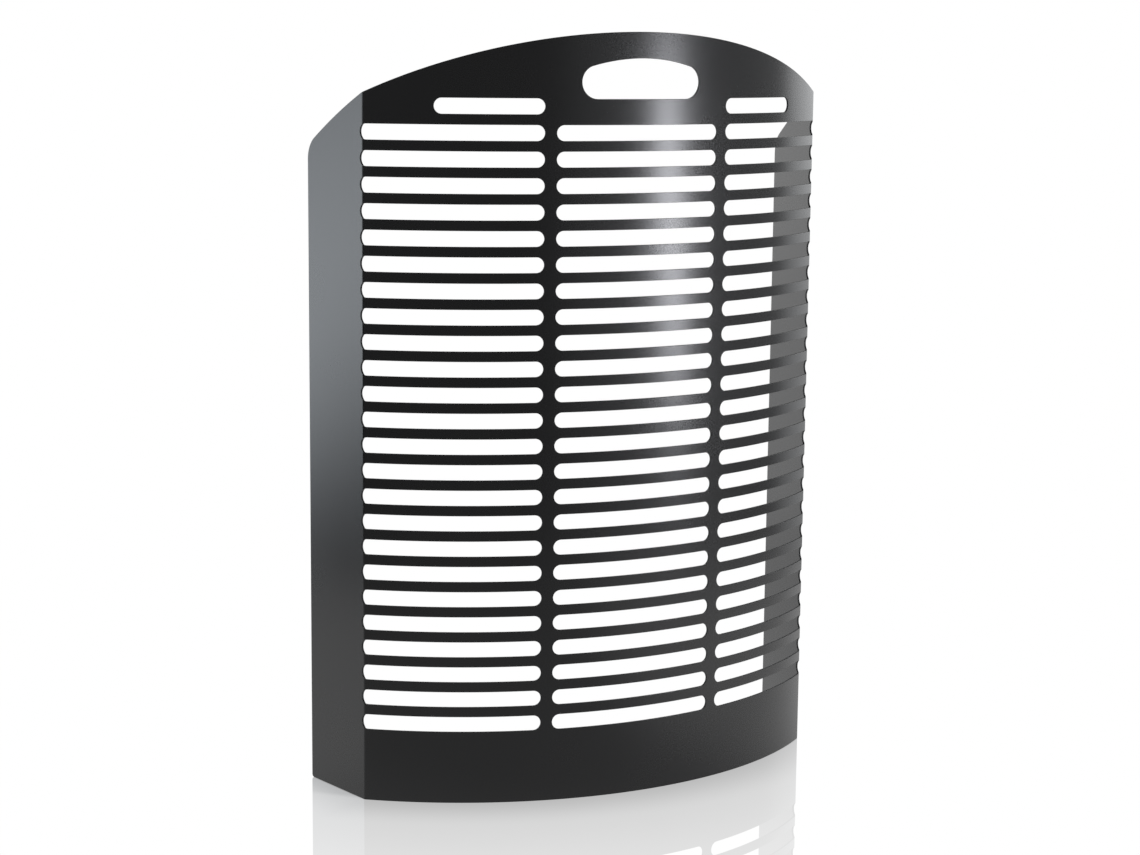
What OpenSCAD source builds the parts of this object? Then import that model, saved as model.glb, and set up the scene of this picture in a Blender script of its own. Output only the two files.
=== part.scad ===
// Free-standing spark guard for a stove.
// One sheet of steel is cut flat, rolled to a shallow curve and folded back at both sides.
// Each leaf between the folds is a solid of its own: the slotted front and the two wings.
// The front bulges towards -Y and the wings run back towards +Y.

/* [Sheet] */
// Thickness of the steel sheet
sheet_t = 2; // [1.5:0.5:3]
// Height of the guard at the middle of its arched top
guard_h = 750; // [500:5:900]
// Radius of the arched top edge, measured on the flat sheet
arch_r = 675; // [600:5:1200]
// Least height of the plain band at the foot
foot_band_h = 70; // [40:1:110]

/* [Front] */
// Radius that the front is rolled to, measured on its outer face
front_r = 396; // [320:2:600]
// Width of the front between the folds, measured round its outer face
front_w = 547; // [520:1:620]

/* [Wings] */
// Width of each wing's flat part, from its fold to its back edge
wing_w = 96; // [60:1:160]
// Angle by which each wing opens outwards from straight back
wing_flare = 10; // [0:1:25]
// Inner radius of the folds
fold_r = 2; // [1:0.5:4]
// Radius of the wing's upper back corner
shoulder_r = 25; // [5:1:35]
// Radius of the wing's lower back corner
heel_r = 3; // [1:0.5:10]

/* [Slots] */
// Distance from one row of slots to the next
row_pitch = 25; // [20:0.5:40]
// Height of every slot
slot_h = 16; // [8:0.5:18]
// Length of the middle slots, measured round the outer face
mid_slot_w = 178; // [120:1:200]
// Width of the two uprights between the columns of slots
upright_w = 11.5; // [8:0.5:20]
// How far the side slots run past the front's edges, round the folds
slot_overrun = 8; // [5:0.5:12]
// Length of the two short slots beside the hand hole
short_slot_w = 106; // [40:1:120]

/* [Hand hole] */
// Length of the hand hole
hand_w = 129; // [115:1:140]
// Height of the hand hole at its middle
hand_h = 38.5; // [36:0.5:42]
// Radius of the hand hole's round ends
hand_end_r = 16; // [12:0.5:17]
// Length of the hand hole's arched upper edge
hand_arch_w = 110; // [105:1:112]
// Height of sheet left above the hand hole
hand_margin = 25; // [15:1:40]
// Height of the hand hole's flat lower edge above the middle of the short slots
hand_lift = 7; // [4:0.5:20]

/* [Hidden] */
$fn = 48;
sheet_colour = [0.13, 0.13, 0.14];
wing_colour = [0.42, 0.43, 0.44];
// Facets of the large arcs
arc_fn = 720;
// Overshoot of every cut past the faces of the sheet
cut = 1;
// Straight steps that follow the arch along the rolled front
arch_steps = 40;
// How much smaller the roll's radius is at the top than at the foot, a hair that no rolling can hold
roll_taper = 0.02;

// Angles in plan, measured from straight ahead
fold_angle = arc_angle(front_w / 2);
fold_turn = 90 - wing_flare - fold_angle;
fold_out_r = fold_r + sheet_t;
fold_len = fold_out_r * fold_turn * PI / 180;
fold_reach = fold_out_r * sin(fold_turn);

// Places in plan, measured from the axis of the rolled front
fold_x = (front_r - fold_out_r) * sin(fold_angle);
fold_y = -(front_r - fold_out_r) * cos(fold_angle);
back_y = fold_y + wing_w * cos(wing_flare) - fold_r * sin(wing_flare);
roll_y = (front_r - back_y) / 2;

// Heights above the floor, worked down from the top
arch_z = guard_h - arch_r;
hand_z = guard_h - hand_margin - hand_h;
short_row_z = hand_z - hand_lift;
top_row_z = short_row_z - row_pitch;
slot_rows = floor((top_row_z - slot_h / 2 - foot_band_h) / row_pitch) + 1;

// Ends of the slots along the flat sheet, measured from its middle
slot_r = slot_h / 2;
side_slot_start = mid_slot_w / 2 + upright_w;
side_slot_end = front_w / 2 + slot_overrun;

// Angle round the rolled front of a length along its outer face
function arc_angle(along) = along / front_r * 180 / PI;

// Height of the arched top edge at a length along the flat sheet
function edge_z(along) = arch_z + sqrt(arch_r * arch_r - along * along);

// Places children on the outer face of a sheet bent to radius r, with -Y pointing outwards
module on_bend(r, angle) {
    rotate([0, 0, angle])
        translate([0, -r, 0])
            children();
}

// Places children at the axis of the rolled front
module at_roll_axis() {
    translate([0, roll_y, 0])
        children();
}

// A full-height wall of the sheet, bent to an outer radius from one angle to another
module bent_wall(r, from, to, taper = 0) {
    rotate([0, 0, from - 90])
        rotate_extrude(angle = to - from, $fn = arc_fn)
            polygon([
                [r - sheet_t, 0],
                [r, 0],
                [r - taper, guard_h],
                [r - taper - sheet_t, guard_h]
            ]);
}

// What one straight step of the arched edge cuts from the front, square to the sheet.
// The edge runs from height z0 to height z1, and the cut reaches half a step into both neighbours.
module arch_step(from, turn, z0, z1) {
    half_w = front_r * tan(turn);
    slope = (z1 - z0) / (2 * front_r * tan(turn / 2));
    mid_z = (z0 + z1) / 2;
    on_bend(front_r, from + turn / 2)
        translate([0, sheet_t + cut, 0])
            rotate([90, 0, 0])
                linear_extrude(sheet_t + 2 * cut)
                    polygon([
                        [-half_w, mid_z - slope * half_w],
                        [half_w, mid_z + slope * half_w],
                        [half_w, guard_h + cut],
                        [-half_w, guard_h + cut]
                    ]);
}

// The cut of the arched edge over the whole front
module arch_cut() {
    step_turn = 2 * fold_angle / arch_steps;
    step_w = front_w / arch_steps;
    for (i = [0 : arch_steps - 1])
        arch_step(-fold_angle + i * step_turn, step_turn,
            edge_z(-front_w / 2 + i * step_w), edge_z(-front_w / 2 + (i + 1) * step_w));
}

// Outline of a slot with round ends, from one length to another
module slot_outline(start, end) {
    translate([start + slot_r, -slot_r])
        square([end - start - slot_h, slot_h]);
    for (x = [start + slot_r, end - slot_r])
        translate([x, 0])
            circle(r = slot_r);
}

// A slot between two lengths along the rolled front, cut square to the sheet at its middle
module slot(start, end, z) {
    on_front = min(end, front_w / 2);
    middle = arc_angle((start + on_front) / 2);
    start_x = front_r * sin(arc_angle(start) - middle);
    end_x = front_r * sin(arc_angle(on_front) - middle) + end - on_front;
    depth = front_r * (1 - cos(arc_angle(front_w / 4)));
    on_bend(front_r, middle)
        translate([0, depth + sheet_t, z])
            rotate([90, 0, 0])
                linear_extrude(depth + sheet_t + cut)
                    slot_outline(start_x, end_x);
}

// The same slot on both sides of the middle
module slot_pair(start, end, z) {
    slot(start, end, z);
    mirror([1, 0, 0])
        slot(start, end, z);
}

// Outline of the hand hole seen from the front: round ends, flat below and arched above
module hand_outline() {
    end_x = hand_w / 2 - hand_end_r;
    corner_x = hand_arch_w / 2;
    corner_z = sqrt(pow(hand_end_r, 2) - pow(corner_x - end_x, 2));
    peak_z = hand_h - hand_end_r;
    rise = peak_z - corner_z;
    hand_arch_r = (corner_x * corner_x + rise * rise) / (2 * rise);
    translate([0, hand_z + hand_end_r]) {
        for (side = [-1, 1])
            translate([side * end_x, 0])
                circle(r = hand_end_r);
        translate([-end_x, -hand_end_r])
            square([2 * end_x, 2 * hand_end_r]);
        intersection() {
            translate([0, peak_z - hand_arch_r])
                circle(r = hand_arch_r, $fn = arc_fn);
            translate([-corner_x, 0])
                square([hand_arch_w, peak_z + cut]);
        }
    }
}

// The hand hole, cut straight through the front's middle
module hand_hole() {
    bulge = front_r * (1 - cos(arc_angle(hand_w / 2)));
    translate([0, bulge + sheet_t + cut - front_r, 0])
        rotate([90, 0, 0])
            linear_extrude(bulge + sheet_t + 2 * cut)
                hand_outline();
}

// The rolled front with its slots, hand hole and arched top
module front_panel() {
    color(sheet_colour)
        at_roll_axis()
            difference() {
                bent_wall(front_r, -fold_angle, fold_angle, roll_taper);
                arch_cut();
                hand_hole();
                slot_pair(side_slot_start, side_slot_start + short_slot_w, short_row_z);
                for (row = [0 : slot_rows - 1]) {
                    z = top_row_z - row * row_pitch;
                    slot(-mid_slot_w / 2, mid_slot_w / 2, z);
                    slot_pair(side_slot_start, side_slot_end, z);
                }
            }
}

// Outline of the wing, seen square to its flat part, which starts at X = 0.
// The arch of the front runs on round the fold and down to a rounded shoulder.
module wing_outline() {
    arch_x = -front_w / 2 - fold_reach;
    shoulder_x = wing_w - shoulder_r;
    shoulder_z = arch_z + sqrt(pow(arch_r - shoulder_r, 2) - pow(shoulder_x - arch_x, 2));
    shoulder_share = arch_r / (arch_r - shoulder_r);
    tangent_x = arch_x + (shoulder_x - arch_x) * shoulder_share;
    tangent_z = arch_z + (shoulder_z - arch_z) * shoulder_share;
    difference() {
        intersection() {
            translate([arch_x, arch_z])
                circle(r = arch_r, $fn = arc_fn);
            translate([-fold_out_r, 0])
                square([fold_out_r + wing_w, guard_h]);
        }
        polygon([
            [shoulder_x, shoulder_z],
            [wing_w + cut, shoulder_z],
            [wing_w + cut, guard_h],
            [tangent_x, guard_h],
            [tangent_x, tangent_z]
        ]);
        translate([wing_w - heel_r, -cut])
            square([heel_r + cut, heel_r + cut]);
    }
    translate([shoulder_x, shoulder_z])
        circle(r = shoulder_r);
    translate([wing_w - heel_r, heel_r])
        circle(r = heel_r);
}

// Round end of a side slot, open towards the front
module notch_outline() {
    circle(r = slot_r);
    translate([-slot_overrun - fold_len, -slot_r])
        square([slot_overrun + fold_len, slot_h]);
}

// Extrudes an outline square through the fold and the flat part of a wing
module through_wing() {
    translate([0, cut, 0])
        rotate([90, 0, 0])
            linear_extrude(fold_out_r + 2 * cut)
                children();
}

// A wing before it is placed: the fold bends round the Z axis and the flat part runs along X
module wing_leaf() {
    difference() {
        intersection() {
            union() {
                mirror([1, 0, 0])
                    bent_wall(fold_out_r, 0, fold_turn);
                translate([0, -fold_out_r, 0])
                    cube([wing_w, sheet_t, guard_h]);
            }
            through_wing()
                wing_outline();
        }
        for (row = [0 : slot_rows - 1])
            translate([slot_overrun - fold_len - slot_r, 0, top_row_z - row * row_pitch])
                through_wing()
                    notch_outline();
    }
}

// The right wing in its place beside the front
module wing() {
    translate([fold_x, fold_y, 0])
        rotate([0, 0, 90 - wing_flare])
            wing_leaf();
}

module right_wing() {
    color(wing_colour)
        at_roll_axis()
            wing();
}

module left_wing() {
    color(wing_colour)
        at_roll_axis()
            mirror([1, 0, 0])
                wing();
}

front_panel();
left_wing();
right_wing();
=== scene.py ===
"""Looks of a free-standing stove spark guard: one rolled and folded steel sheet, coated satin black.

The sheet is cut flat, with X along its outer face, Z up and its thickness towards +Y, and is then
rolled and folded. Lengths are in metres.
"""

import math

import bmesh
import bpy
from mathutils import Matrix, Vector


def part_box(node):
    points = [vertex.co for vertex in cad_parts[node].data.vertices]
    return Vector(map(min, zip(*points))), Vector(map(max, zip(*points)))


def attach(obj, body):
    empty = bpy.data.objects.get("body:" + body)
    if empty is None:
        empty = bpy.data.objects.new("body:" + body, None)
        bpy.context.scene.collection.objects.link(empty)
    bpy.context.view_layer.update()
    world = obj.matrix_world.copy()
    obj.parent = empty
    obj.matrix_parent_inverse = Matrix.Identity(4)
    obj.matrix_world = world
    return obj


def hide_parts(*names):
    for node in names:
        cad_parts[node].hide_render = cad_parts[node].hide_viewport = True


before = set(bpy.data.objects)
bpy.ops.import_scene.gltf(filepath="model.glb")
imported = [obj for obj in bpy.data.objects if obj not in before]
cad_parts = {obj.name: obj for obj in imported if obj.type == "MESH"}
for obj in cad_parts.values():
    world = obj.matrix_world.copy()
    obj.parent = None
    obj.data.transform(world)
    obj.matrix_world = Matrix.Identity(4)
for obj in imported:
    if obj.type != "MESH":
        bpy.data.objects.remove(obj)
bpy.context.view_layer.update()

# Sheet and outline
FRONT_LOW, FRONT_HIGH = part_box("front_panel")
HEIGHT = FRONT_HIGH.z
SHEET = 0.002
RIM = 0.0003
ARCH_RADIUS = 0.675
ARCH_CENTRE = HEIGHT - ARCH_RADIUS

# Rolled front
ROLL_RADIUS = 0.396
ROLL_Y = FRONT_LOW.y + ROLL_RADIUS
FRONT_WIDTH = 0.547
HALF_FRONT = FRONT_WIDTH / 2
FOLD_ANGLE = HALF_FRONT / ROLL_RADIUS

# Folds and wings, with the flare in degrees
WING = 0.096
WING_FLARE = 10
WING_ANGLE = math.radians(90 - WING_FLARE)
FOLD_INNER_RADIUS = 0.002
FOLD_RADIUS = FOLD_INNER_RADIUS + SHEET
FOLD_TURN = WING_ANGLE - FOLD_ANGLE
FOLD_LENGTH = FOLD_RADIUS * FOLD_TURN
FOLD_REACH = FOLD_RADIUS * math.sin(FOLD_TURN)
BACK = HALF_FRONT + FOLD_LENGTH + WING
SHOULDER_RADIUS = 0.025
HEEL_RADIUS = 0.003

# Slots
ROWS = 24
ROW_PITCH = 0.025
LOWEST_ROW = 0.0795
SLOT_HEIGHT = 0.015
SLOT_RADIUS = SLOT_HEIGHT / 2
MIDDLE_SLOT = 0.178
UPRIGHT = 0.0115
SLOT_OVERRUN = 0.0055
SIDE_SLOT_START = MIDDLE_SLOT / 2 + UPRIGHT
SIDE_SLOT_END = HALF_FRONT + SLOT_OVERRUN
SHORT_SLOT = 0.106
SHORT_ROW = LOWEST_ROW + ROWS * ROW_PITCH

# Hand hole
HAND_WIDTH = 0.129
HAND_HEIGHT = 0.0385
HAND_END_RADIUS = 0.016
HAND_ARCH_WIDTH = 0.110
HAND_LIFT = 0.007
HAND_LOW = SHORT_ROW + HAND_LIFT

# Fineness of the mesh
ROLL_STEP = math.radians(1)
FOLD_STEPS = 8
END_STEPS = 16
HEEL_STEPS = 4
ARCH_STEPS = 48

# Length under which two places are one, and share of a normal from which a face looks that way
CLOSE = 5e-6
FACING = 0.9

# Directions, and a quarter turn
ALONG = Vector((1, 0, 0))
UP = Vector((0, 0, 1))
QUARTER = math.pi / 2

# Powder coat: its colours, the patterns per metre, its gloss and its relief
COAT_DARK = (0.0095, 0.0095, 0.0100, 1)
COAT_LIGHT = (0.0125, 0.0125, 0.0130, 1)
COAT_DUST = (0.022, 0.022, 0.023, 1)
COAT_ON_EDGES = (0.007, 0.007, 0.007, 1)
CLOUD_SCALE = 9
PEEL_SCALE = 420
GRAIN_SCALE = 1500
PATTERN_DETAIL = 2
DUST_SHARE = 0.12
DUSTY_GRAIN = (0.62, 0.78)
COAT_ROUGHNESS = 0.225
CLOUD_ROUGHNESS = 0.05
PEEL_ROUGHNESS = 0.03
EDGE_ROUGHNESS = 0.35
COAT_IOR = 1.5
RELIEF_HEIGHT = 0.00003
RELIEF_STRENGTH = 0.05
PEEL_SHARE = 0.6

# Light of the dim room, of its floor and of the backdrop, as shares of white
WHITE = (1, 1, 1, 1)
ROOM_LEVEL = 0.2
ROOM_FLOOR_LEVEL = 0.14
BACKDROP_LEVEL = 1.4
BACKDROP_MIDDLE = (0.26, 0.966, 0)
BACKDROP_EDGE = (0.6, 0.88)

# Light on the table top under the guard: where it ends, its level everywhere, and what is added to the
# right, at the back and at the right of the front, with the places between which each sets in or ends
TABLE_EDGE = (1.1, 1.35)
TABLE_LEVEL = 0.43
RIGHT_LEVEL = 0.25
RIGHT_ONSET = (0, 0.4)
BACK_LEVEL = 0.3
BACK_ONSET = (-0.2, 0.2)
FRONT_RIGHT_LEVEL = 0.33
FRONT_RIGHT_ONSET = (0.05, 0.3)
FRONT_RIGHT_END = (-0.3, 0)

# How strongly the floor mirrors the guard in three zones round its foot and in one beside its wings,
# each with the distances from the guard between which it ends. The first three set in inside the guard.
# The narrow zone at the foot and the one beside the wings are painted contact shadow: they strengthen
# the floor's mirror, so that the dark image of the guard darkens the floor there.
FAR_MIRROR = 0.24
FAR_END = (0.3, 0.6)
NEAR_MIRROR = 0.1
NEAR_END = (0, 0.25)
# Painted contact shadow along the guard's foot, drawn by a stronger mirror of the dark guard
FOOT_MIRROR_PAINTED_SHADE = 0.19
FOOT_END = (-0.02, 0.075)
OUTSIDE_ONSET = (-0.1, 0)
# Painted contact shadow beside the wings, drawn by a stronger mirror of the dark guard
BESIDE_MIRROR_PAINTED_SHADE = 0.15
BESIDE_WING_END = (-0.01, 0.06)
BESIDE_FRONT_END = (-0.015, 0)

# Floor: its size, and how far it lies under the guard's lower edge
FLOOR_RADIUS = 6
FLOOR_CORNERS = 96
FLOOR_GAP = 0.0002

# Tints of the lamps
COOL = (0.94, 1, 1.06, 1)
NEUTRAL = (0.985, 1, 1.015, 1)
BLUISH = (0.98, 0.99, 1.05, 1)

# Bounces after which a ray from the camera meets a lamp by way of the guard, and of its image in the floor
BOUNCES = (1, 2)

# Lamps: bearings in degrees, and levels as pairs of a height and the light's strength there
LAMPS = (
    {
        "name": "left_softbox",
        "bearing": 243,
        "distance": 1.2,
        "width": 2.0,
        "levels": ((0.16, 0), (0.58, 3.0), (1.47, 0)),
        "tint": COOL,
        "tilt": 0.62,
    },
    {
        "name": "right_softbox",
        "bearing": 107,
        "distance": 1.3,
        "width": 0.8,
        "levels": ((0, 0.85), (0.3, 1.1), (0.9, 2.8), (1.4, 0)),
        "tint": NEUTRAL,
    },
    {
        "name": "front_softbox",
        "bearing": 44,
        "distance": 1.7,
        "width": 2.9,
        "levels": ((0, 0.48), (1.1, 0.48), (1.4, 0)),
        "tint": NEUTRAL,
    },
    {
        "name": "right_strip",
        "bearing": 39,
        "distance": 1.5,
        "width": 0.2,
        "levels": ((0.06, 0), (0.46, 28), (0.6, 28), (0.81, 0)),
        "tint": BLUISH,
        "lean": -0.35,
        "in_floor": False,
    },
)

# Camera: angles in degrees, its distance from where it aims, and its lens in millimetres
CAMERA_AZIMUTH = -27.83
CAMERA_PITCH = -9.39
CAMERA_ROLL = 0.57
CAMERA_DISTANCE = 2.43
AIM_SIDE = -0.0676
AIM_HEIGHT = 0.3401
SENSOR_WIDTH = 36
FOCAL_LENGTH = 78.32
SHIFT_UP = 0.0246


def arc(centre, radius, start, end, steps):
    """Points of an arc in the flat sheet, from one angle to another in radians, with both ends."""
    angles = [start + (end - start) * i / steps for i in range(steps + 1)]
    return [(centre[0] + radius * math.cos(a), centre[1] + radius * math.sin(a)) for a in angles]


def other_side(points):
    """The same points on the other side of the middle, in the opposite order."""
    return [(-x, z) for x, z in reversed(points)]


def arch_height(along):
    """Height of the arched edge. Past the fold it follows the arch as seen square to the wing."""
    past = min(max(along - HALF_FRONT, 0), FOLD_LENGTH)
    seen = along - (FOLD_LENGTH - FOLD_REACH) * past / FOLD_LENGTH
    return ARCH_CENTRE + math.sqrt(ARCH_RADIUS**2 - seen**2)


def sheet_outline():
    """The outline of the flat sheet: heel, shoulder and arch, and the same on the other side."""
    heel = arc((BACK - HEEL_RADIUS, HEEL_RADIUS), HEEL_RADIUS, -QUARTER, 0, HEEL_STEPS)
    inner_radius = ARCH_RADIUS - SHOULDER_RADIUS
    seen = BACK - SHOULDER_RADIUS - FOLD_LENGTH + FOLD_REACH
    tangent = math.acos(seen / inner_radius)
    shoulder_z = ARCH_CENTRE + inner_radius * math.sin(tangent)
    shoulder = arc((BACK - SHOULDER_RADIUS, shoulder_z), SHOULDER_RADIUS, 0, tangent, END_STEPS)
    arch_end = shoulder[-1][0]
    arch = [arch_end * (1 - i / ARCH_STEPS) for i in range(1, ARCH_STEPS)]
    side = heel + shoulder + [(x, arch_height(x)) for x in arch]
    return side + [(0, HEIGHT)] + other_side(side)


def slot_outline(start, end, z):
    """A slot with round ends."""
    right = arc((end - SLOT_RADIUS, z), SLOT_RADIUS, -QUARTER, QUARTER, END_STEPS)
    left = arc((start + SLOT_RADIUS, z), SLOT_RADIUS, QUARTER, 3 * QUARTER, END_STEPS)
    return right + left


def hand_hole_outline():
    """Round ends, flat below and arched above."""
    end_x = HAND_WIDTH / 2 - HAND_END_RADIUS
    end_z = HAND_LOW + HAND_END_RADIUS
    corner_x = HAND_ARCH_WIDTH / 2
    corner_angle = math.acos((corner_x - end_x) / HAND_END_RADIUS)
    corner_z = end_z + HAND_END_RADIUS * math.sin(corner_angle)
    rise = HAND_LOW + HAND_HEIGHT - corner_z
    arch_radius = (corner_x**2 + rise**2) / (2 * rise)
    arch_turn = math.asin(corner_x / arch_radius)
    arch_centre = (0, HAND_LOW + HAND_HEIGHT - arch_radius)
    end = arc((end_x, end_z), HAND_END_RADIUS, -QUARTER, corner_angle, END_STEPS)
    arch = arc(arch_centre, arch_radius, QUARTER - arch_turn, QUARTER + arch_turn, END_STEPS)
    return end + arch[1:-1] + other_side(end)


def hole_outlines():
    """Every hole of the flat sheet."""
    holes = [hand_hole_outline()]
    right = [(SIDE_SLOT_START, SIDE_SLOT_START + SHORT_SLOT, SHORT_ROW)]
    for row in range(ROWS):
        z = LOWEST_ROW + row * ROW_PITCH
        holes.append(slot_outline(-MIDDLE_SLOT / 2, MIDDLE_SLOT / 2, z))
        right.append((SIDE_SLOT_START, SIDE_SLOT_END, z))
    for start, end, z in right:
        holes.append(slot_outline(start, end, z))
        holes.append(slot_outline(-end, -start, z))
    return holes


def bend_lines():
    """Where the flat sheet is divided, so that it can be rolled and folded smoothly."""
    roll_steps = math.ceil(FOLD_ANGLE / ROLL_STEP)
    right = [HALF_FRONT * i / roll_steps for i in range(1, roll_steps + 1)]
    right += [HALF_FRONT + FOLD_LENGTH * i / FOLD_STEPS for i in range(1, FOLD_STEPS + 1)]
    return [-x for x in right] + [0] + right


def cut_sheet():
    """The cut sheet, filled between its outlines and as thick as it is between its rounded rims."""
    bm = bmesh.new()
    for outline in [sheet_outline()] + hole_outlines():
        corners = [bm.verts.new((x, RIM, z)) for x, z in outline]
        for a, b in zip(corners, corners[1:] + corners[:1]):
            bm.edges.new((a, b))
    bmesh.ops.triangle_fill(bm, use_beauty=True, use_dissolve=False, edges=bm.edges[:])
    inner = bmesh.ops.extrude_face_region(bm, geom=bm.faces[:], use_keep_orig=True)["geom"]
    moved = [v for v in inner if isinstance(v, bmesh.types.BMVert)]
    bmesh.ops.translate(bm, verts=moved, vec=(0, SHEET - 2 * RIM, 0))
    bmesh.ops.recalc_face_normals(bm, faces=bm.faces[:])
    return bm


def round_rims(bm):
    """Rounds the rims of both faces by insets that rise along a quarter circle in two steps."""
    diagonal = math.sin(math.radians(45))
    for side in (-1, 1):
        face = [f for f in bm.faces if f.normal.y * side > FACING]
        for inwards, outwards in ((1 - diagonal, diagonal), (diagonal, 1 - diagonal)):
            bmesh.ops.inset_region(
                bm, faces=face, thickness=RIM * inwards, depth=RIM * outwards, use_even_offset=True
            )


def divide(bm):
    """Divides the sheet along its bend lines."""
    for x in bend_lines():
        everything = bm.verts[:] + bm.edges[:] + bm.faces[:]
        bmesh.ops.bisect_plane(
            bm, geom=everything, dist=CLOSE, plane_co=(x, 0, 0), plane_no=(1, 0, 0)
        )


def rim_share(depth):
    """How far a surface at this depth in the sheet looks through it: -1 outwards, 1 inwards, 0 on a cut."""
    share = max(0, 1 - (SHEET - depth) / RIM) - max(0, 1 - depth / RIM)
    return min(max(share, -1), 1)


def mark_flat_normals(bm):
    """Keeps each point's smooth normal in the flat sheet, before the sheet is parted into leaves."""
    bm.normal_update()
    layer = bm.verts.layers.float_vector.new("flat_normal")
    for v in bm.verts:
        through = rim_share(v.co.y)
        across = Vector((v.normal.x, 0, v.normal.z))
        if across.length > CLOSE:
            across.normalize()
        v[layer] = across * math.sqrt(1 - through**2) + Vector((0, through, 0))


def flat_sheet():
    """The finished sheet before it is bent."""
    bm = cut_sheet()
    round_rims(bm)
    divide(bm)
    mark_flat_normals(bm)
    return bm


def rolled(run, depth):
    """Where a point of the front lies in plan from the roll's axis, and the angle that it faces."""
    turn = run / ROLL_RADIUS
    radius = ROLL_RADIUS - depth
    return radius * math.sin(turn), -radius * math.cos(turn), turn


def folded(run, depth):
    """The same for a point past the front, on a fold or on the flat wing that follows it."""
    past = run - HALF_FRONT
    turn = FOLD_ANGLE + min(past, FOLD_LENGTH) / FOLD_RADIUS
    flat = max(past - FOLD_LENGTH, 0)
    axis_radius = ROLL_RADIUS - FOLD_RADIUS
    radius = FOLD_RADIUS - depth
    x = axis_radius * math.sin(FOLD_ANGLE) + radius * math.sin(turn) + flat * math.cos(turn)
    y = -axis_radius * math.cos(FOLD_ANGLE) - radius * math.cos(turn) + flat * math.sin(turn)
    return x, y, turn


def bent(along, depth):
    """Where a point of the flat sheet comes to lie in plan, and the angle that the sheet faces there."""
    bend = folded if abs(along) > HALF_FRONT else rolled
    x, y, turn = bend(abs(along), depth)
    side = math.copysign(1, along)
    return side * x, ROLL_Y + y, side * turn


def part_leaf(bm, low, high):
    """Keeps what lies between two bend lines and closes it there.

    Gives the closing faces by their index, with the side that each looks to, -1 or 1 along the sheet.
    """
    outside = [f for f in bm.faces if not low < f.calc_center_median().x < high]
    bmesh.ops.delete(bm, geom=outside, context="FACES")
    open_edges = [e for e in bm.edges if e.is_boundary]
    closing = bmesh.ops.holes_fill(bm, edges=open_edges, sides=0)["faces"]
    bmesh.ops.recalc_face_normals(bm, faces=bm.faces[:])
    bm.faces.index_update()
    return {f.index: f.normal.x for f in closing}


def map_flat(bm):
    """Gives the leaf a UV map that is the flat sheet, at one scale in both directions."""
    uv = bm.loops.layers.uv.new("flat_sheet")
    for f in bm.faces:
        for corner in f.loops:
            corner[uv].uv = (0.5 + corner.vert.co.x / HEIGHT, corner.vert.co.z / HEIGHT)


def bend_leaf(bm):
    """Rolls and folds the leaf, marks its cut edges, and gives each point's normal and its way along."""
    edge_mark = bm.verts.layers.float.new("cut_edge")
    flat_normal = bm.verts.layers.float_vector["flat_normal"]
    directions = []
    for v in bm.verts:
        v[edge_mark] = 1 - abs(rim_share(v.co.y))
        x, y, angle = bent(v.co.x, v.co.y)
        v.co = (x, y, v.co.z)
        turn = Matrix.Rotation(angle, 3, "Z")
        directions.append((turn @ v[flat_normal], turn @ ALONG))
    return directions


def set_normals(mesh, directions, closing_sides):
    """Gives the leaf smooth normals, and square ones on the faces that close it at the folds."""
    corner_normals = []
    for polygon in mesh.polygons:
        side = closing_sides.get(polygon.index)
        for index in polygon.vertices:
            smooth, along = directions[index]
            corner_normals.append(smooth if side is None else along * side)
    mesh.shade_smooth()
    mesh.normals_split_custom_set(corner_normals)
    mesh.attributes.remove(mesh.attributes["flat_normal"])


def leaf(sheet, name, low, high, coat):
    """One leaf of the sheet between two bend lines, bent to shape and coated."""
    bm = sheet.copy()
    closing_sides = part_leaf(bm, low, high)
    map_flat(bm)
    directions = bend_leaf(bm)
    mesh = bpy.data.meshes.new(name)
    bm.to_mesh(mesh)
    bm.free()
    set_normals(mesh, directions, closing_sides)
    mesh.materials.append(coat)
    piece = bpy.data.objects.new(name, mesh)
    bpy.context.scene.collection.objects.link(piece)
    return piece


class Value:
    """An output of a node that takes part in arithmetic. Each operation adds one Math node."""

    def __init__(self, shader, socket):
        self.shader = shader
        self.socket = socket

    def __add__(self, other):
        return self.shader.math("ADD", self, other)

    def __radd__(self, other):
        return self.shader.math("ADD", other, self)

    def __sub__(self, other):
        return self.shader.math("SUBTRACT", self, other)

    def __rsub__(self, other):
        return self.shader.math("SUBTRACT", other, self)

    def __mul__(self, other):
        return self.shader.math("MULTIPLY", self, other)

    def __rmul__(self, other):
        return self.shader.math("MULTIPLY", other, self)


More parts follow.
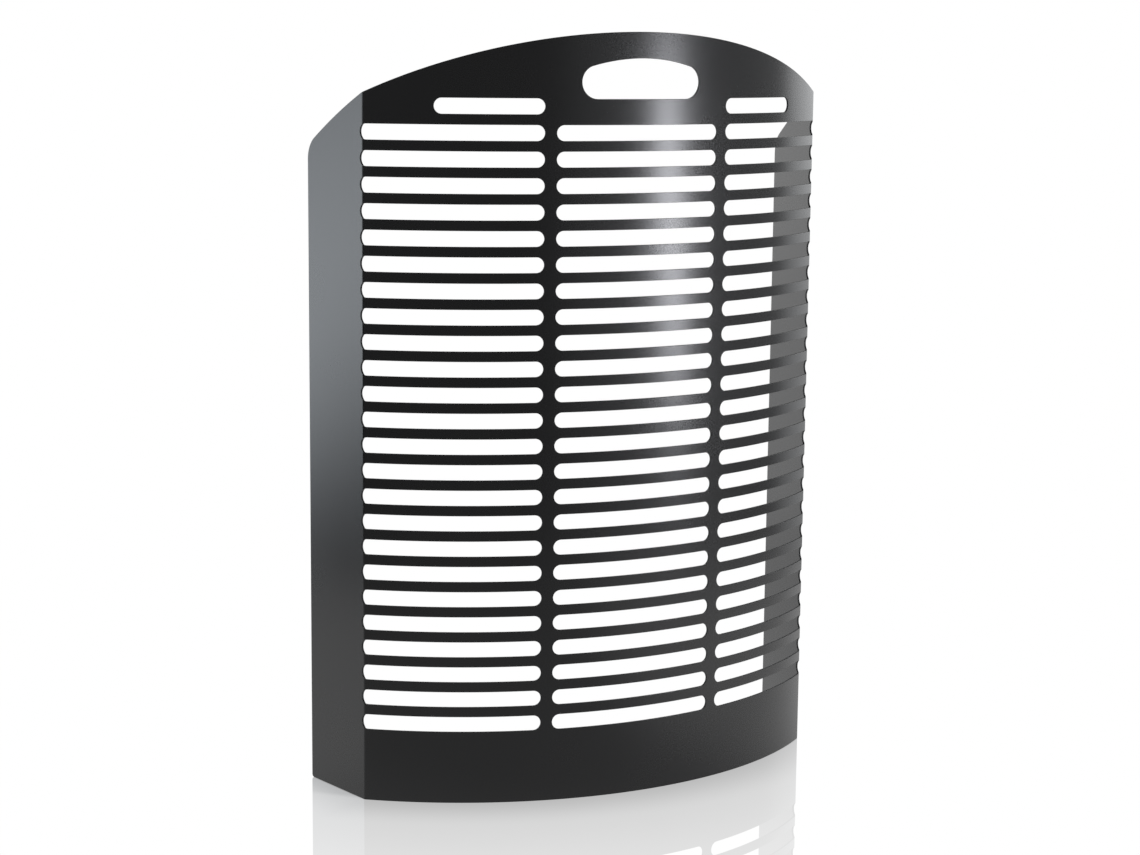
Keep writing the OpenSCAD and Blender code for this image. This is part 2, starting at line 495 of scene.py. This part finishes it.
class Shader:
    """The node tree of a material or of the world."""

    def __init__(self, owner):
        owner.use_nodes = True
        self.tree = owner.node_tree
        self.tree.nodes.clear()

    def add(self, kind, settings=None, sockets=None, output=0):
        """Adds a node, sets its settings and then its sockets, and returns one of its outputs."""
        node = self.tree.nodes.new(kind)
        for name, value in (settings or {}).items():
            setattr(node, name, value)
        for name, value in (sockets or {}).items():
            if isinstance(value, Value):
                self.tree.links.new(value.socket, node.inputs[name])
            else:
                node.inputs[name].default_value = value
        return Value(self, node.outputs[output]) if node.outputs else node

    def math(self, operation, a, b):
        return self.add("ShaderNodeMath", {"operation": operation}, {0: a, 1: b})

    def vector(self, operation, *terms, output="Vector"):
        settings = {"operation": operation}
        return self.add("ShaderNodeVectorMath", settings, dict(enumerate(terms)), output)

    def dot(self, a, b):
        return self.vector("DOT_PRODUCT", a, b, output="Value")

    def length(self, vector):
        return self.vector("LENGTH", vector, output="Value")

    def part(self, vector, axis):
        return self.add("ShaderNodeSeparateXYZ", sockets={0: vector}, output=axis)

    def place(self):
        """Where a point lies along its object's own axes."""
        return self.add("ShaderNodeTexCoord", output="Object")

    def noise(self, place, scale):
        sockets = {"Vector": place, "Scale": scale, "Detail": PATTERN_DETAIL}
        return self.add("ShaderNodeTexNoise", sockets=sockets)

    def ray(self, kind):
        return self.add("ShaderNodeLightPath", output=kind)

    def seen(self):
        """1 for rays from the camera, straight or by way of the floor's mirror, and 0 for all others."""
        return self.math("MAXIMUM", self.ray("Is Camera Ray"), self.ray("Is Singular Ray"))

    def blend(self, share, a, b):
        """A colour between two colours. A Mix node has them as sockets 6 and 7 and gives it as output 2."""
        return self.add("ShaderNodeMix", {"data_type": "RGBA"}, {0: share, 6: a, 7: b}, 2)

    def ease(self, value, start, end):
        """A share that rises smoothly from 0 to 1 between two values."""
        limits = {"Value": value, "From Min": start, "From Max": end}
        return self.add("ShaderNodeMapRange", {"interpolation_type": "SMOOTHSTEP"}, limits)

    def glow(self, colour, strength):
        return self.add("ShaderNodeEmission", sockets={"Color": colour, "Strength": strength})

    def surface(self, shader):
        """Ends a material with its surface."""
        self.add("ShaderNodeOutputMaterial", sockets={"Surface": shader})


def powder_coat():
    """Satin black powder coat: a fine orange peel, a faint cloudiness, and rougher, darker cut edges."""
    material = bpy.data.materials.new("satin_black_powder_coat")
    shader = Shader(material)
    place = shader.place()
    cloud = shader.noise(place, CLOUD_SCALE)
    peel = shader.noise(place, PEEL_SCALE)
    grain = shader.noise(place, GRAIN_SCALE)
    edge = shader.add("ShaderNodeAttribute", {"attribute_name": "cut_edge"}, output="Fac")
    dust = DUST_SHARE * shader.ease(grain, *DUSTY_GRAIN)
    colour = shader.blend(cloud, COAT_DARK, COAT_LIGHT)
    colour = shader.blend(dust, colour, COAT_DUST)
    colour = shader.blend(edge, colour, COAT_ON_EDGES)
    roughness = COAT_ROUGHNESS + CLOUD_ROUGHNESS * cloud + PEEL_ROUGHNESS * peel + EDGE_ROUGHNESS * edge
    height = PEEL_SHARE * peel + (1 - PEEL_SHARE) * grain
    relief = {"Strength": RELIEF_STRENGTH, "Distance": RELIEF_HEIGHT, "Height": height}
    bump = shader.add("ShaderNodeBump", sockets=relief)
    sockets = {"Base Color": colour, "Roughness": roughness, "Normal": bump, "IOR": COAT_IOR}
    shader.surface(shader.add("ShaderNodeBsdfPrincipled", sockets=sockets))
    return material


def backdrop_share(shader, direction):
    """How much of the white backdrop behind the guard lies in a direction."""
    return shader.ease(shader.dot(direction, BACKDROP_MIDDLE), *BACKDROP_EDGE)


def floor_light(shader, place):
    """How bright the floor is in reflections: a lit round table top, with the dim room beyond it."""
    to_right, to_back = shader.part(place, "X"), shader.part(place, "Y")
    right = shader.ease(to_right, *RIGHT_ONSET)
    back = shader.ease(to_back, *BACK_ONSET)
    front = 1 - shader.ease(to_back, *FRONT_RIGHT_END)
    front_right = shader.ease(to_right, *FRONT_RIGHT_ONSET) * front
    lit = TABLE_LEVEL + RIGHT_LEVEL * right + BACK_LEVEL * back + FRONT_RIGHT_LEVEL * front_right
    outward = shader.vector("NORMALIZE", place)
    beyond = ROOM_FLOOR_LEVEL + (1 - ROOM_FLOOR_LEVEL) * backdrop_share(shader, outward)
    table = 1 - shader.ease(shader.length(place), *TABLE_EDGE)
    return table * lit + (1 - table) * beyond


def mirror_share(shader, place):
    """How strongly the floor mirrors the guard: most at its foot, less with the distance from it; the extra
    mirror at its foot and beside its wings is painted contact shadow.
    """
    from_axis = shader.vector("SUBTRACT", place, (0, ROLL_Y, 0))
    from_front = shader.length(from_axis) - ROLL_RADIUS
    wing_normal = (math.sin(WING_ANGLE), math.cos(WING_ANGLE), 0)
    wing_distance = (ROLL_RADIUS - FOLD_RADIUS) * math.cos(FOLD_TURN) + FOLD_RADIUS
    from_wing = shader.dot(shader.vector("ABSOLUTE", from_axis), wing_normal) - wing_distance
    away = shader.math("MAXIMUM", from_front, from_wing)
    outside = shader.ease(away, *OUTSIDE_ONSET)
    far = 1 - shader.ease(away, *FAR_END)
    near = 1 - shader.ease(away, *NEAR_END)
    # The foot zone and the zone beside the wings are painted contact shadow: extra mirror of the dark guard
    foot = 1 - shader.ease(away, *FOOT_END)
    by_wing = 1 - shader.ease(from_wing, *BESIDE_WING_END)
    behind_front = 1 - shader.ease(from_front, *BESIDE_FRONT_END)
    zones = FAR_MIRROR * far + NEAR_MIRROR * near + FOOT_MIRROR_PAINTED_SHADE * foot
    return outside * zones + BESIDE_MIRROR_PAINTED_SHADE * by_wing * behind_front


def floor_finish():
    """A white glossy floor. The camera sees it white, with the reflection of the guard on it, made stronger
    at the guard's foot and beside its wings as painted contact shadow.
    """
    material = bpy.data.materials.new("white_floor")
    shader = Shader(material)
    place = shader.place()
    seen = shader.ray("Is Camera Ray")
    white = shader.glow(WHITE, seen + (1 - seen) * floor_light(shader, place))
    mirror = shader.add("ShaderNodeBsdfGlossy", sockets={"Color": WHITE, "Roughness": 0})
    share = seen * mirror_share(shader, place)
    shader.surface(shader.add("ShaderNodeMixShader", sockets={0: share, 1: white, 2: mirror}))
    return material


def floor():
    """A round floor under the guard."""
    bm = bmesh.new()
    bmesh.ops.create_circle(bm, cap_ends=True, segments=FLOOR_CORNERS, radius=FLOOR_RADIUS)
    mesh = bpy.data.meshes.new("floor")
    bm.to_mesh(mesh)
    bm.free()
    mesh.materials.append(floor_finish())
    plane = bpy.data.objects.new("floor", mesh)
    plane.location.z = -FLOOR_GAP
    bpy.context.scene.collection.objects.link(plane)


def studio():
    """A white backdrop behind the guard and a dim room in front. Seen by the camera, all of it is white."""
    world = bpy.data.worlds.new("studio")
    shader = Shader(world)
    direction = shader.add("ShaderNodeTexCoord", output="Generated")
    seen = shader.seen()
    room = ROOM_LEVEL + (BACKDROP_LEVEL - ROOM_LEVEL) * backdrop_share(shader, direction)
    sockets = {"Color": WHITE, "Strength": seen + (1 - seen) * room}
    background = shader.add("ShaderNodeBackground", sockets=sockets)
    shader.add("ShaderNodeOutputWorld", sockets={"Surface": background})
    bpy.context.scene.world = world


def lamp_light(name, slope, levels, tint, in_floor):
    """The light of a lamp. Its strength follows the levels along a slope, and the camera sees it white."""
    material = bpy.data.materials.new(name)
    shader = Shader(material)
    height = shader.dot(shader.place(), slope)
    strength = levels[0][1]
    for (low, start), (high, end) in zip(levels, levels[1:]):
        strength = strength + (end - start) * shader.ease(height, low, high)
    if not in_floor:
        strength = strength * (1 - shader.ease(shader.ray("Ray Depth"), *BOUNCES))
    seen = shader.seen()
    colour = shader.blend(seen, tint, WHITE)
    shader.surface(shader.glow(colour, seen + (1 - seen) * strength))
    return material


def softbox(name, bearing, distance, width, levels, tint, lean=0, tilt=0, in_floor=True):
    """An upright lamp that stands on the floor, faces the guard and ends at its highest level.

    Its bearing is 0 straight ahead of the guard, towards -Y, and 90 towards +X. As it faces the guard,
    its lean is how far it moves to its own right per metre of height, and its tilt how far its levels
    rise per metre that way. If it isn't in the floor, the guard's image there has no highlight of it.
    """
    angle = math.radians(bearing)
    away = Vector((math.sin(angle), -math.cos(angle), 0))
    across = Vector((math.cos(angle), math.sin(angle), 0))
    top = levels[-1][0]
    middle = distance * away + top / 2 * UP
    stretch = Matrix((width * across, top * (UP + lean * across), away)).transposed().to_4x4()
    bm = bmesh.new()
    bmesh.ops.create_grid(
        bm, x_segments=1, y_segments=1, size=0.5, matrix=Matrix.Translation(middle) @ stretch
    )
    mesh = bpy.data.meshes.new(name)
    bm.to_mesh(mesh)
    bm.free()
    mesh.materials.append(lamp_light(name, UP - tilt * across, levels, tint, in_floor))
    lamp = bpy.data.objects.new(name, mesh)
    lamp.visible_camera = False
    bpy.context.scene.collection.objects.link(lamp)


def lights():
    for lamp in LAMPS:
        softbox(**lamp)


def camera():
    """Stands ahead of the guard and to its left, and looks slightly down."""
    azimuth, pitch = math.radians(CAMERA_AZIMUTH), math.radians(CAMERA_PITCH)
    roll = math.radians(CAMERA_ROLL)
    level = math.cos(pitch)
    view = Vector((-math.sin(azimuth) * level, math.cos(azimuth) * level, math.sin(pitch)))
    level_right = Vector((math.cos(azimuth), math.sin(azimuth), 0))
    level_up = level_right.cross(view)
    right = level_right * math.cos(roll) + level_up * math.sin(roll)
    up = level_up * math.cos(roll) - level_right * math.sin(roll)
    aim = level_right * AIM_SIDE + Vector((0, FRONT_LOW.y, AIM_HEIGHT))
    lens = bpy.data.cameras.new("camera")
    lens.sensor_width = SENSOR_WIDTH
    lens.lens = FOCAL_LENGTH
    lens.shift_y = SHIFT_UP
    holder = bpy.data.objects.new("camera", lens)
    turned = Matrix((right, up, -view)).transposed().to_4x4()
    holder.matrix_world = Matrix.Translation(aim - view * CAMERA_DISTANCE) @ turned
    bpy.context.scene.collection.objects.link(holder)
    bpy.context.scene.camera = holder


def guard():
    """The three leaves of the sheet, each in the place of its CAD node."""
    coat = powder_coat()
    sheet = flat_sheet()
    leaves = {
        "front_panel": (-HALF_FRONT, HALF_FRONT),
        "left_wing": (-BACK, -HALF_FRONT),
        "right_wing": (HALF_FRONT, BACK),
    }
    for node, (low, high) in leaves.items():
        piece = leaf(sheet, node + "_sheet", low, high, coat)
        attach(piece, "root")
        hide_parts(node)
    sheet.free()


guard()
floor()
studio()
lights()
camera()
bpy.context.scene.view_settings.view_transform = "Standard"
